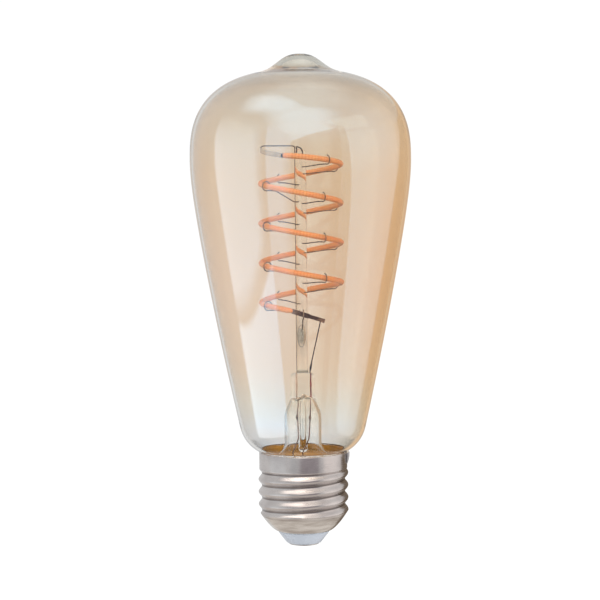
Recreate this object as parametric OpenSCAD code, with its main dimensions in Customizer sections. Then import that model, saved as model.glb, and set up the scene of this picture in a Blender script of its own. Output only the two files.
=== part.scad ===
// Smart filament light bulb: straight-sided ST64 glass envelope with a tip, a spiral LED
// filament on a glass stem, and an E27 screw cap that holds the driver and its radio.
// The origin is the middle of the centre contact's outer face. The bulb's axis is +Z.

/* [Envelope] */
// Overall height, from the contact's face to the glass tip
bulb_h = 142.5; // [138:0.5:148]
// Radius of the envelope at its widest
envelope_r = 32; // [31:0.1:33]
// Height of the widest place
envelope_z = 112; // [110:0.5:114]
// Glass thickness of the envelope
glass_t = 0.8; // [0.6:0.05:1]
// Radius of the glass neck inside the cap
neck_r = 12.2; // [12:0.05:12.3]

/* [Filament] */
// Radius of the spiral's centre line
coil_r = 11.6; // [11:0.1:12]
// Drop of the spiral in one turn
coil_pitch = 11.5; // [11:0.1:12]
// Height of the spiral where it first passes the right-hand side
coil_z = 110.85; // [110:0.05:112]
// Radius of the phosphor jacket
jacket_r = 0.8; // [0.6:0.01:0.9]
// Thickness of the support wires
support_d = 0.32; // [0.26:0.02:0.4]

/* [Stem] */
// Radius of the clear glass column
column_r = 1.6; // [1.4:0.05:1.8]
// Height of the column's top
column_top = 115.1; // [114:0.1:116]
// Height of the joint between the column and the press
press_top = 50.3; // [49:0.1:52]
// Radius of the flare tube
flare_r = 5.4; // [5:0.1:5.8]
// Thickness of the lead-in wires
lead_d = 0.32; // [0.26:0.02:0.4]

/* [Cap] */
// Thread pitch of the screw cap
thread_pitch = 3.629; // [3.6:0.001:3.65]
// Radius over the thread crests
crest_r = 13.15; // [13.03:0.01:13.22]
// Depth of the rolled thread
thread_depth = 1; // [0.9:0.05:1.1]
// Thickness of the cap's sheet metal
sheet_t = 0.3; // [0.25:0.05:0.35]
// Height of the cap's rim
rim_z = 27.1; // [26.8:0.1:27.3]
// Radius of the smooth collar above the thread
collar_r = 12.85; // [12.8:0.05:12.95]
// Radius of the centre contact
contact_r = 4.4; // [4.2:0.1:4.6]

/* [Hidden] */
$fn = 64;
hook_count = 17;
support_names = [for (k = [1:hook_count]) str("support_wire_", k < 10 ? "0" : "", k)];

// Envelope outline
shoulder_h = 26;            // rise of the shoulder above the widest place
shoulder_n = 2.6;           // squareness of the shoulder
shoulder_top = envelope_z + shoulder_h;
tip_h = bulb_h - shoulder_top;
tip_r = 7.4;                // radius at which the tip has mostly died away
tip_n = 2.9;
taper_slope = 0.155;        // the straight taper below the widest place
taper_start = 7;            // how gradually the taper begins
taper_curve = 0.00091;      // how much it steepens towards the cap
bowl_z = 34.3;              // the taper turns into the bowl here
bowl_r = 10.5;              // radius of the bowl's curve
bowl_a0 = 12.8;             // wall angle from the axis at the bowl's top
bowl_a1 = 60;               // and at its foot
heel_r = (bowl_foot()[0] - neck_r) / (1 - cos(bowl_a1));
neck_end = 23.2;            // cut end of the neck
seat_r = neck_r - glass_t;  // the neck's bore, which the flare is fused to

// Filament
coil_sag = 0.31;            // the first turn lies flatter
sag_turn = 64;
coil_tilt = 0.18;           // each turn's front stands higher than its back
coil_zig = 0.2;             // and runs steeper across the front and back than at the sides
end_lift = 0.4;             // the last turn rises a little before the terminal
end_lift_a = 1418;
end_lift_w = 45;
top_rise = 1.7;             // slope of the upper terminal
end_drop = 3;               // and of the lower one
jacket_a0 = -27.6;          // the jacket's ends, from the front towards +X
jacket_a1 = 1427;
top_terminal_a = -82;
band_a = 1450;              // the wide band of the lower terminal ends here
strip_a = 1473.6;           // and its narrow strip here
coil_step = 12;
strip_w = 0.9;              // height of the strip inside the jacket
strip_t = 0.3;
band_w = 1.4;
terminal_w = 1.1;
terminal_t = 0.3;

// Support wires
hook_a0 = 32;
hook_step = 90.15;
hook_shift = 8;             // the first wire is set round a little
last_hook = 1442;           // the last wire stands at the terminal
low_hook = 3;               // this one leaves the column lower than the rest
hook_reach = 1.15;          // radius of the open loop round the jacket
hook_dip = 0.75;            // the loop's foot is this far above the wire's root
low_drop = 4.6;             // drop from the jacket to the low wire's root
last_drop = 5;
loop_lead = 3;              // the loop starts this far inside the jacket's centre line
root_depth = 1;             // length fused into the column
top_hook_d = 0.4;
wire_sides = 6;

// Stem
press_foot = 42.5;
press_w = 3.5;              // half the press's width and thickness
press_t = 2.1;
press_round = 0.5;
flare_top = 38;
flare_wall = 0.6;
bell_z = 30;                // the flare tube opens into its bell below this
bell_foot = 24.6;
left_lead = [-1.6, 0.9];    // where the two lead-ins stand in the press
right_lead = [2.2, 0];
lead_rise = 1;              // the long lead's height above the column
seal_r = 0.3;
seal_foot = 41.5;
weld_r = 0.3;
knot_r = 0.36;
outer_lead_r = 0.18;
knot_z = [37.8, 37.4, 36.8, 36.4];
lead_clear = 1.7;           // the leads pass this far in front of the exhaust tube
exhaust_r = 1.3;
exhaust_bore = 0.7;
exhaust_foot = 26;

// Cap
thread_z = 19.1;            // a crest's height at the left-hand side
mean_r = crest_r - thread_depth / 2;
thread_top = 21.4;
collar_foot = 22.5;
skirt_r = 7.9;              // bottom edge of the shell
skirt_z = 4.1;
shoulder_rise = 5;          // the shell's rounded foot
shoulder_reach = 4.7;
shell_turn = 10;            // degrees between the shell's facets
contact_t = 0.4;
insulator_top = 5.6;
pin_r = 1;
pin_bore = 0.55;
pin_top = insulator_top - 0.6;
cement_top = rim_z - 0.5;
cement_foot = neck_end - 2;
cement_bore = 10.9;
fit_gap = 0.05;
side_a = -12;               // the side solder's place round the rim
side_lead_r = 0.14;
centre_wire_r = 0.35;

// Driver
sleeve_r = 10.6;
sleeve_t = 0.3;
sleeve_z0 = 8.4;
sleeve_h = 11.6;
board_w = 20;
board_t = 1;
board_z0 = 8.6;
board_h = 13.6;
bridge_size = [4.8, 1.7, 4];
chip_size = [4.9, 1.5, 3.9];
ceramic_size = [1.6, 0.9, 0.8];
resistor_r = 1.3;
resistor_l = 6.6;
capacitor_r = 3.2;
capacitor_h = 9;
inductor_r = 2.8;           // its two end plates, and its winding
winding_r = 2.3;
winding_h = 3;
plate_h = 0.9;
radio_size = [8.6, 0.8, 7.6];
shield_size = [7, 1.5, 4.6];
radio_gap = 1.6;            // the radio's board stands this far behind the driver's
pin_w = 0.5;
pin_step = 1.5;

// ---- Curves ----

function unit(v) = v / norm(v);

function taper_r(z) =
    let (u = envelope_z - z)
    envelope_r - taper_slope * (u - taper_start * (1 - exp(-u / taper_start)))
    - taper_curve * u * u / 2;

function bowl_foot() = [
    taper_r(bowl_z) - bowl_r * (cos(bowl_a0) - cos(bowl_a1)),
    bowl_z - bowl_r * (sin(bowl_a1) - sin(bowl_a0))
];

// Crown of the envelope from the widest place to the axis, drawn in by the wall t.
function crown(t) = [
    for (a = [0:2.5:90])
        let (
            r = (envelope_r - t) * pow(cos(a), 2 / shoulder_n),
            z = envelope_z + (shoulder_h - t) * pow(sin(a), 2 / shoulder_n)
        )
        [a == 90 ? 0 : r, z + tip_h * exp(-pow(r / tip_r, tip_n))]
];

// Side of the envelope from the neck's cut end up to just under the widest place.
function side(t) = concat(
    [[neck_r - t, neck_end]],
    [for (a = [0:10:bowl_a1])
        [neck_r + heel_r * (1 - cos(a)) - t * cos(a),
         bowl_foot()[1] - heel_r * (sin(bowl_a1) - sin(a)) + t * sin(a)]],
    [for (a = [bowl_a1 - 8:-8:bowl_a0 + 4])
        [taper_r(bowl_z) - bowl_r * (cos(bowl_a0) - cos(a)) - t * cos(a),
         bowl_z - bowl_r * (sin(a) - sin(bowl_a0)) + t * sin(a)]],
    [for (z = [bowl_z + 0.5:6:envelope_z - 2])
        [taper_r(z) - t, z]]
);

function reversed(list) = [for (i = [len(list) - 1:-1:0]) list[i]];

// A point at radius r and height z, at the angle a from the front towards +X.
function around(a, r, z) = [r * sin(a), -r * cos(a), z];

function turn_height(a) =
    coil_z - coil_pitch * (a - 90) / 360 - coil_sag * exp(-(a - 90) / sag_turn)
    + coil_tilt * (1 + cos(a)) - coil_zig * sin(2 * a)
    + end_lift * exp(-pow((a - end_lift_a) / end_lift_w, 2));

// Height of the spiral's centre line. The terminals run straight on from its ends.
function coil_height(a) =
    a < jacket_a0
    ? turn_height(jacket_a0) + top_rise * (jacket_a0 - a) / (jacket_a0 - top_terminal_a)
    : a > jacket_a1
    ? turn_height(jacket_a1) - end_drop * (a - jacket_a1) / (strip_a - jacket_a1)
    : turn_height(a);

function coil_path(a0, a1, step) =
    let (n = max(2, round((a1 - a0) / step)))
    [for (i = [0:n])
        let (a = a0 + (a1 - a0) * i / n)
        around(a, coil_r, coil_height(a))];

// One ring of a sweep round point i of a path. Its plane is square to the path and ref
// stands for the ring's own upward direction.
function ring_at(path, i, ring, ref) =
    let (
        n = len(path) - 1,
        t = unit(path[min(i + 1, n)] - path[max(i - 1, 0)]),
        b = unit(cross(t, ref)),
        u = cross(b, t)
    )
    [for (p = ring) path[i] + p[0] * b + p[1] * u];

function disc_ring(r, sides) =
    [for (k = [0:sides - 1]) r * [cos(360 * k / sides), sin(360 * k / sides)]];

function flat_ring(t, w) = [[t, -w] / 2, [t, w] / 2, [-t, w] / 2, [-t, -w] / 2];

// A flat slot's outline with eight corners, to match an eight-sided outer ring.
function slot_ring(t, w) = [
    [t, 0] / 2, [t, w] / 2, [0, w] / 2, [-t, w] / 2,
    [-t, 0] / 2, [-t, -w] / 2, [0, -w] / 2, [t, -w] / 2
];

// Two triangles that close the four-cornered patch a, b, c, d.
function patch(a, b, c, d) = [[a, b, c], [a, c, d]];

// The skin of n + 1 rings of m points, numbered from start.
function skin(n, m, start = 0) = [
    for (i = [0:n - 1]) for (k = [0:m - 1])
        let (a = start + i * m, b = a + m, next = (k + 1) % m)
        each patch(a + k, a + next, b + next, b + k)
];

// Faces of n + 1 rings of m points, closed by an end face at each end.
function sweep_faces(n, m) = concat(
    [[for (k = [0:m - 1]) m - 1 - k]],
    skin(n, m),
    [[for (k = [0:m - 1]) n * m + k]]
);

function flipped(faces) = [for (f = faces) [f[2], f[1], f[0]]];

// The band between ring a and ring b of m points each.
function rim(m, a, b) = [
    for (k = [0:m - 1])
        let (next = (k + 1) % m)
        each patch(a + k, b + k, b + next, a + next)
];

// Faces of an outer and an inner skin of n + 1 rings of m points, joined at both ends.
function hollow_faces(n, m) =
    let (inner = (n + 1) * m)
    concat(
        skin(n, m), flipped(skin(n, m, inner)),
        rim(m, 0, inner), flipped(rim(m, n * m, inner + n * m))
    );

module sweep(path, ring, ref) {
    points = [for (i = [0:len(path) - 1]) each ring_at(path, i, ring, ref)];
    polyhedron(points, sweep_faces(len(path) - 1, len(ring)), convexity = 8);
}

// A round wire along a path. radii gives its radius at each point.
module wire(path, radii, ref) {
    points = [for (i = [0:len(path) - 1])
        each ring_at(path, i, disc_ring(radii[i], wire_sides), ref)];
    polyhedron(points, sweep_faces(len(path) - 1, wire_sides), convexity = 8);
}

// A hollow sweep: outer and inner rings have the same number of points.
module hollow_sweep(path, outer, inner, ref) {
    n = len(path) - 1;
    outside = [for (i = [0:n]) each ring_at(path, i, outer, ref)];
    inside = [for (i = [0:n]) each ring_at(path, i, inner, ref)];
    polyhedron(concat(outside, inside), hollow_faces(n, len(outer)), convexity = 8);
}

function same(r, path) = [for (p = path) r];

// ---- Glass ----

module glass_envelope() {
    color("wheat", 0.35)
        rotate_extrude()
            polygon(concat(side(0), crown(0), reversed(crown(glass_t)), reversed(side(glass_t))));
}

// The bell, a quarter of an ellipse from the seat (a = 0) to the tube (a = 90), drawn in
// square to itself by t.
function bell(a, t) =
    let (
        width = seat_r - flare_r,
        height = bell_z - bell_foot,
        out = unit([height * sin(a), width * cos(a)])
    )
    [seat_r - width * sin(a), bell_foot + height * (1 - cos(a))] - t * out;

// The flare's outline as it is turned, up to the flat press.
module flare_body() {
    rotate_extrude()
        polygon(concat(
            [[0, neck_end], [seat_r, neck_end]],
            [for (a = [0:15:90]) bell(a, 0)],
            [[flare_r, flare_top], [flare_r - 0.4, flare_top + 1.6]],
            [[press_w + press_round, press_foot - 1], [press_w, press_foot + 0.6]],
            [[press_w, press_top - press_round], [press_w - press_round, press_top]],
            [[0, press_top]]
        ));
}

// What the press jaws leave: the flare narrows to the press's thickness from front and back.
module jaw_room() {
    shoulder = flare_top - 0.5;
    room = [
        [seat_r + 1, 0], [seat_r + 1, shoulder], [flare_r + 0.3, shoulder],
        [press_t, press_foot], [press_t, press_top + 1]
    ];
    rotate([90, 0, 90])
        linear_extrude(height = 2 * seat_r + 2, center = true)
            polygon(concat(room, [for (p = reversed(room)) [-p[0], p[1]]]));
}

module flare_bore() {
    rotate_extrude()
        polygon(concat(
            [[0, neck_end - 1], [seat_r - flare_wall, neck_end - 1]],
            [for (a = [15:15:90]) bell(a, flare_wall)],
            [[flare_r - flare_wall, flare_top - 1], [exhaust_r, press_foot - 0.5]],
            [[0, press_foot - 0.5]]
        ));
}

module stem_flare() {
    color("lightcyan", 0.5)
        difference() {
            intersection() {
                flare_body();
                jaw_room();
            }
            flare_bore();
            for (p = [left_lead, right_lead])
                translate([p[0], p[1], flare_top])
                    cylinder(r = seal_r, h = press_top - flare_top + 1, $fn = 24);
        }
}

module exhaust_tube() {
    color("lightcyan", 0.5)
        translate([0, 0, exhaust_foot])
            difference() {
                cylinder(r = exhaust_r, h = press_foot - 0.5 - exhaust_foot, $fn = 32);
                translate([0, 0, 1])
                    cylinder(r = exhaust_bore, h = press_foot, $fn = 32);
            }
}

module glass_column() {
    color("lightcyan", 0.5)
        difference() {
            rotate_extrude()
                polygon(concat(
                    [[0, press_top], [column_r, press_top]],
                    [for (a = [0:15:90]) [column_r * cos(a), column_top - 1 + sin(a)]]
                ));
            for (k = [0:hook_count - 1])
                root_hole(hook_angle(k), hook_root_z(k));
        }
}

module root_hole(a, z) {
    translate([0, 0, z])
        rotate([90, 0, a])
            translate([0, 0, column_r - root_depth])
                cylinder(d = support_d, h = 2, $fn = 24);
}

// ---- Filament ----

module filament_jacket() {
    color("sandybrown")
        hollow_sweep(
            coil_path(jacket_a0, jacket_a1, coil_step),
            disc_ring(jacket_r, 8), slot_ring(strip_t, strip_w), [0, 0, 1]
        );
}

module filament_strip() {
    color("gold")
        sweep(
            coil_path(jacket_a0, jacket_a1, coil_step),
            flat_ring(strip_t, strip_w), [0, 0, 1]
        );
}

module filament_top_terminal() {
    color("gainsboro")
        sweep(
            coil_path(top_terminal_a, jacket_a0, 9),
            flat_ring(terminal_t, band_w), [0, 0, 1]
        );
}

module filament_bottom_terminal() {
    band = coil_path(jacket_a1, band_a, 8);
    strip = coil_path(band_a, strip_a, 8);
    color("dimgray") {
        sweep(band, flat_ring(terminal_t, band_w), [0, 0, 1]);
        sweep(strip, flat_ring(terminal_t, terminal_w), [0, 0, 1]);
    }
}

// ---- Support wires ----

function hook_angle(k) =
    k == hook_count - 1 ? last_hook
    : hook_a0 + hook_step * k + (k == 0 ? hook_shift : 0);

// Height at which a wire leaves the column: a little under its loop.
function hook_root_z(k) =
    let (drop = k == hook_count - 1 ? last_drop : k == low_hook ? low_drop : hook_reach + hook_dip)
    coil_height(hook_angle(k)) - drop;

// The wire runs out from the column, dips under the jacket and curls up past it.
function hook_path(a, root_z) =
    let (zc = coil_height(a), w = support_d / 2)
    concat(
        [around(a, column_r - root_depth, root_z), around(a, column_r + 0.6, root_z)],
        [around(a, coil_r - loop_lead, zc - hook_reach - w)],
        [for (t = [-20:32:172])
            around(a, coil_r + (hook_reach + w) * sin(t), zc - (hook_reach + w) * cos(t))]
    );

module support_wire(k) {
    a = hook_angle(k);
    path = hook_path(a, hook_root_z(k));
    color("slategray")
        wire(path, same(support_d / 2, path), around(a + 90, 1, 0));
}

// From the column's top, forward over the spiral and down on to its front.
module top_hook() {
    z = column_top;
    front = coil_height(3) + jacket_r;
    path = [
        [-0.9, -0.2, z - 1.2], [-1, -0.3, z - 0.2], [-1.2, -0.8, z + 0.5], [-1.1, -2.5, z + 0.7],
        [-0.3, -6, z + 0.4], [0.3, -9, z - 0.1], [0.6, -11.2, front + 0.5], [0.6, -coil_r, front]
    ];
    color("dimgray")
        wire(path, same(top_hook_d / 2, path), [1, 0, 0]);
}

// ---- Lead-in wires ----

module long_lead() {
    a = top_terminal_a + 4;
    end = around(a, coil_r, coil_height(a) + band_w / 2);
    top = column_top + lead_rise;
    x = left_lead[0];
    y = left_lead[1];
    path = [
        [x, y, press_top], [x, y, top - 0.6], [x - 0.2, y, top - 0.15], [x - 0.7, y - 0.2, top],
        [end[0] + 0.9, end[1] + 0.3, top], [end[0] + 0.3, end[1] + 0.1, top - 0.15],
        [end[0], end[1], top - 0.5], end
    ];
    color("slategray")
        wire(path, same(lead_d / 2, path), [0, 1, 0]);
}

module short_lead() {
    a = strip_a - 7;
    z = coil_height(a) - terminal_w / 2;
    start = around(a, coil_r, z);
    x = right_lead[0];
    path = [
        [x, 0, press_top], [x + 0.1, -0.1, press_top + 0.9], [x + 0.35, -0.6, press_top + 2.2],
        [x + 0.5, -1.2, press_top + 3.2], [start[0] - 0.1, start[1] + 0.3, z - 0.6], start
    ];
    thin = lead_d / 2;
    color("slategray")
        wire(path, [thin, weld_r, weld_r, thin, thin, thin], [0, 1, 0]);
}

module dumet(p) {
    color("indianred")
        translate([p[0], p[1], seal_foot])
            cylinder(r = seal_r, h = press_top - seal_foot, $fn = 24);
}

module dumet_left() { dumet(left_lead); }
module dumet_right() { dumet(right_lead); }

// From the seal, through a welded knot and down to the board's edge.
module outer_lead(p, foot) {
    x = p[0];
    y = p[1];
    path = [
        [x, y, seal_foot], [x, y, knot_z[0]], [x - 0.1, y, knot_z[1]], [x - 0.1, y, knot_z[2]],
        [x * 0.95, y, knot_z[3]], [x * 0.8, -1.2, 31], [foot[0], -lead_clear, exhaust_foot + 0.5], foot
    ];
    r = outer_lead_r;
    color("peru")
        wire(path, [r, r, knot_r, knot_r, r, r, r, r], [1, 0, 0]);
}

module outer_lead_left() { outer_lead(left_lead, [-3, -0.3, board_z0 + board_h]); }
module outer_lead_right() { outer_lead(right_lead, [-0.1, -0.3, board_z0 + board_h]); }

// ---- Screw cap ----

function smooth(x) = let (c = max(0, min(1, x))) c * c * (3 - 2 * c);

function foot_r(z) =
    skirt_r + shoulder_reach * pow(max(0, z - skirt_z) / shoulder_rise, 0.7);

// The shell's radius at height z, at the angle a from +X. The thread is right-handed,
// rises out of the rounded foot and runs out under the collar.
function shell_r(z, a) =
    let (
        phase = (z - thread_z) / thread_pitch - (a - 180) / 360,
        rolled = mean_r + thread_depth / 2 * cos(360 * phase),
        upper = rolled + (collar_r - rolled) * smooth((z - thread_top) / (collar_foot - thread_top))
    )
    min(upper, foot_r(z));

shell_rows = concat(
    [skirt_z, 4.5, 5.1, 5.9, 6.8],
    [for (z = [7.6:thread_pitch / 8:thread_top]) z],
    [21.8, 22.2, collar_foot, rim_z - 0.4, rim_z]
);

function shell_ring(z, wall) = [
    for (a = [0:shell_turn:360 - shell_turn])
        let (r = shell_r(z, a) - wall)
        [r * cos(a), r * sin(a), z]
];

module screw_shell() {
    outside = [for (z = shell_rows) each shell_ring(z, 0)];
    inside = [for (z = shell_rows) each shell_ring(z, sheet_t)];
    faces = flipped(hollow_faces(len(shell_rows) - 1, 360 / shell_turn));
    color("silver")
        polyhedron(concat(outside, inside), faces, convexity = 8);
}

// Fills the gap between the neck and the collar and carries the neck's end. A slot leaves
// room for the side lead.
module basing_cement() {
    outer = collar_r - sheet_t - fit_gap;
    root = mean_r - thread_depth / 2 - sheet_t - fit_gap;
    color("peru")
        difference() {
            rotate_extrude()
                polygon([
                    [cement_bore, cement_foot], [root, cement_foot], [root, collar_foot - 0.3],
                    [outer, collar_foot + 0.2], [outer, cement_top], [neck_r, cement_top],
                    [neck_r, neck_end], [cement_bore, neck_end]
                ]);
            rotate(side_a)
                translate([cement_bore - 1, -0.5, cement_foot - 1])
                    cube([4, 1, 10]);
        }
}

module cap_insulator() {
    color("aliceblue")
        rotate_extrude()
            polygon([
                [pin_r, contact_t], [contact_r + 0.5, contact_t], [contact_r + 0.8, contact_t + 0.3],
                [skirt_r - sheet_t, skirt_z - 0.3], [skirt_r - sheet_t, insulator_top],
                [3, insulator_top], [2.2, insulator_top - 1.6], [pin_r, insulator_top - 1.6]
            ]);
}

module centre_contact() {
    color("lightgray")
        difference() {
            union() {
                cylinder(r = contact_r, h = contact_t);
                cylinder(r = pin_r, h = pin_top, $fn = 32);
            }
            translate([0, 0, 1.2])
                cylinder(r = pin_bore, h = insulator_top, $fn = 32);
        }
}

module centre_wire() {
    path = [
        [0, 0, 1.6], [0, 0, insulator_top], [-0.3, -0.3, insulator_top + 1],
        [-0.8, -0.9, board_z0], [-0.8, -0.9, board_z0 + 2]
    ];
    color("goldenrod")
        wire(path, same(centre_wire_r, path), [1, 0, 0]);
}

module side_lead() {
    gap_r = (neck_r + collar_r - sheet_t) / 2;
    path = [
        [board_w / 2 - 1, -0.7, 17.5], [board_w / 2 - 0.7, -0.9, 20.3],
        [10.4 * cos(side_a), 10.4 * sin(side_a), 22.2],
        [gap_r * cos(side_a), gap_r * sin(side_a), neck_end - 0.25],
        [gap_r * cos(side_a), gap_r * sin(side_a), rim_z - 0.9],
        [(gap_r + 0.25) * cos(side_a), (gap_r + 0.25) * sin(side_a), rim_z + 0.15]
    ];
    color("silver")
        wire(path, same(side_lead_r, path), [0, 1, 0]);
}

// A drop of solder that ran a little way down the collar.
module side_solder() {
    drop = [[-3.4, 0.1], [-2.6, 0.26], [-1.6, 0.4], [-0.6, 0.48], [0, 0.46], [0.3, 0.3]];
    path = [for (d = drop) [collar_r + (d[0] > 0 ? 0.5 : d[1]), 0, rim_z + d[0]]];
    color("lightgray")
        rotate(side_a)
            wire(path, [for (d = drop) d[1]], [0, 1, 0]);
}

module insulating_sleeve() {
    color("whitesmoke")
        translate([0, 0, sleeve_z0])
            difference() {
                cylinder(r = sleeve_r, h = sleeve_h);
                translate([0, 0, -1])
                    cylinder(r = sleeve_r - sleeve_t, h = sleeve_h + 2);
            }
}

// ---- Driver and radio ----

// A block on the board's front (side = -1) or back (side = 1) face.
module chip(x, z, size, side) {
    y = side * (board_t + size[1]) / 2;
    translate([x, y, z])
        cube(size, center = true);
}

module driver_board() {
    color("darkgreen")
        translate([-board_w / 2, -board_t / 2, board_z0])
            cube([board_w, board_t, board_h]);
}

module bridge_rectifier() {
    color("darkslategray")
        chip(-5.2, 12.4, bridge_size, -1);
}

module driver_chip() {
    color("darkslategray")
        chip(2.4, 12, chip_size, -1);
}

module fusible_resistor() {
    color("seagreen")
        translate([-2.6, -board_t / 2 - resistor_r, 18.2])
            rotate([0, 90, 0])
                cylinder(r = resistor_r, h = resistor_l, center = true, $fn = 32);
}

module bulk_capacitor() {
    color("midnightblue")
        translate([-4.6, board_t / 2 + capacitor_r, 9])
            cylinder(r = capacitor_r, h = capacitor_h, $fn = 48);
}

module inductor() {
    color("saddlebrown")
        translate([3.6, board_t / 2 + inductor_r, 9.2])
            union() {
                cylinder(r = inductor_r, h = plate_h, $fn = 40);
                translate([0, 0, plate_h])
                    cylinder(r = winding_r, h = winding_h, $fn = 40);
                translate([0, 0, plate_h + winding_h])
                    cylinder(r = inductor_r, h = plate_h, $fn = 40);
            }
}

module ceramic_capacitors() {
    color("tan")
        for (z = [10.4, 12.2, 14])
            chip(7.4, z, ceramic_size, -1);
}

module wireless_module() {
    color("navy")
        translate([-0.8, board_t / 2 + radio_gap, 15.2])
            cube(radio_size);
}

module module_shield() {
    color("silver")
        translate([0, board_t / 2 + radio_gap + radio_size[1], 15.7])
            cube(shield_size);
}

module module_pins() {
    color("gold")
        for (i = [0:4])
            translate([0.3 + pin_step * i, board_t / 2, 15.6])
                cube([pin_w, radio_gap, pin_w]);
}

glass_envelope();
stem_flare();
exhaust_tube();
glass_column();
filament_jacket();
filament_strip();
filament_top_terminal();
filament_bottom_terminal();
for (k = [0:hook_count - 1])
    support_wire(k);
top_hook();
long_lead();
short_lead();
dumet_left();
dumet_right();
outer_lead_left();
outer_lead_right();
screw_shell();
basing_cement();
cap_insulator();
centre_contact();
centre_wire();
side_lead();
side_solder();
insulating_sleeve();
driver_board();
bridge_rectifier();
driver_chip();
fusible_resistor();
bulk_capacitor();
inductor();
ceramic_capacitors();
wireless_module();
module_shield();
module_pins();
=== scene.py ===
"""Looks of the spiral-filament smart bulb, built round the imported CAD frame.

Lengths are in millimetres in the named values and turned into metres when a mesh is made,
and angles are in degrees. The studio's own values, at the end, are in metres.
The bulb's axis is +Z, the origin is the centre contact's outer face, and -Y is the front.
"""

import math

import bmesh
import bpy
from mathutils import Matrix, Vector


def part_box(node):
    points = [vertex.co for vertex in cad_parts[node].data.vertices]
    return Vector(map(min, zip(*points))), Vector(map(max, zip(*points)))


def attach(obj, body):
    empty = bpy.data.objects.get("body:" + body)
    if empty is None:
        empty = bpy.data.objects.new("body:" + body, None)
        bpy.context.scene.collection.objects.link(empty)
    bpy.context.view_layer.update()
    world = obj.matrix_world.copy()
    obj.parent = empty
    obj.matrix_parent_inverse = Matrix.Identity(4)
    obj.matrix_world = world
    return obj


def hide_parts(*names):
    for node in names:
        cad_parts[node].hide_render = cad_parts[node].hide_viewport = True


MM = 0.001
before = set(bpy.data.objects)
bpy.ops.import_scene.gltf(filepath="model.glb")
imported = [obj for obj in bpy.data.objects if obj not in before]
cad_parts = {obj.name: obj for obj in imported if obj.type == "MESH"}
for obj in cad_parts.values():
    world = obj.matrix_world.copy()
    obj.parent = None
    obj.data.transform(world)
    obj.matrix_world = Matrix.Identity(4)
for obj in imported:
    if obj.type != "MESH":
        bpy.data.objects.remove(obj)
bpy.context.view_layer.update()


def box_mm(node):
    """Lowest and highest corner of a CAD node, in millimetres."""
    low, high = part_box(node)
    return [c / MM for c in low], [c / MM for c in high]


def radius_of(node):
    low, high = box_mm(node)
    return (high[0] - low[0]) / 2


# ---- Sizes, from the frame where its boxes give them ----

ENVELOPE_R = radius_of("glass_envelope")
BULB_H = box_mm("glass_envelope")[1][2]
NECK_END = box_mm("glass_envelope")[0][2]
COLUMN_TOP = box_mm("glass_column")[1][2]
PRESS_TOP = box_mm("glass_column")[0][2]
RIM_Z = box_mm("screw_shell")[1][2]
SKIRT_Z = box_mm("screw_shell")[0][2]
CREST_R = radius_of("screw_shell")
CONTACT_R = radius_of("centre_contact")
SEAL_FOOT = box_mm("dumet_left")[0][2]
BOARD_TOP = box_mm("driver_board")[1][2]

# Envelope: crown and tip are curves of power N, the taper leans in more and more below the
# widest place, and the bowl's wall leans from A0 to A1
ENVELOPE_Z = 112
SHOULDER_H = 26
SHOULDER_N = 2.6
TIP_H = BULB_H - ENVELOPE_Z - SHOULDER_H
TIP_R = 7.4
TIP_N = 2.9
DIMPLE_H = 0.8 * TIP_H
DIMPLE_R = 0.84 * TIP_R
TAPER_SLOPE = 0.155
TAPER_START = 7
TAPER_CURVE = 0.00091
BOWL_Z = 34.3
BOWL_R = 10.5
BOWL_A0 = 12.8
BOWL_A1 = 60
NECK_R = 12.2
GLASS_T = 0.8

# Filament: places along the coil are angles from the front, counted down the turns
COIL_R = 11.6
COIL_PITCH = 11.5
COIL_Z = 110.85
COIL_SAG = 0.31
SAG_TURN = 64
COIL_TILT = 0.18
COIL_ZIG = 0.2
END_LIFT = 0.4
END_LIFT_A = 1418
END_LIFT_W = 45
TOP_RISE = 1.7
END_DROP = 3
JACKET_R = 0.8
CORD_ENDS = (0.55, 0.9)
JACKET_A0 = -27.6
JACKET_A1 = 1427
TOP_TERMINAL_A = -82
BAND_A = 1450
STRIP_A = 1473.6
BAND_W = 1.4
TERMINAL_W = 1.1
TERMINAL_T = 0.3
CHIP_STEP = 0.9

# Support wires: the first is shifted, and the fourth and the last have low roots
HOOK_COUNT = 17
HOOK_A0 = 32
HOOK_STEP = 90.15
HOOK_SHIFT = 8
LAST_HOOK = 1442
LOW_HOOK = 3
HOOK_REACH = 1.15
HOOK_DIP = 0.75
LOW_DROP = 4.6
LAST_DROP = 5
LOOP_LEAD = 3
LOOP_START = -20
OPEN_LOOP = 172
CLOSED_LOOP = 255
SUPPORT_R = 0.16
TOP_WIRE_R = 0.2
ROOT_DEPTH = 1

# Stem, its leads and seals, the column's bubble, and how much painted shade darkens the column
COLUMN_R = 1.6
PRESS_FOOT = 42.5
FLARE_R = 5.4
FLARE_WALL = 0.6
BELL_Z = 30
BELL_FOOT = 24.6
EXHAUST_R = 1.3
EXHAUST_BORE = 0.7
EXHAUST_FOOT = 26
LEFT_LEAD = (-1.6, 0.9)
RIGHT_LEAD = (2.2, 0)
LEAD_RISE = 1
SEAL_R = 0.3
SEAL_THIN = 0.62
SEAL_KNOT = 0.62
SEAL_KNOT_W = 0.05
LEAD_R = 0.16
WELD_R = 0.3
WELD_Z = PRESS_TOP + 1.6
WELD_W = 1.1
OUTER_LEAD_R = 0.18
OUTER_KNOT_R = 0.36
OUTER_KNOT_Z = 37.1
OUTER_KNOT_W = 0.55
KNOT_BENDS = (37.8, 37.4, 36.8, 36.4)
LEAD_CLEAR = 1.7
BUBBLE_X = -0.15
BUBBLE_Z = 61
BUBBLE_R = 0.95
BUBBLE_HALF = 3.3
# Painted shade: how dark the column is painted at its foot, in a band round the bubble and at the
# bubble's edge
FOOT_SHADE = 0.85
WALL_SHADE = 0.33
BUBBLE_SHADE = 0.5
SEAT_R = NECK_R - GLASS_T
FIT = 0.02

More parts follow.
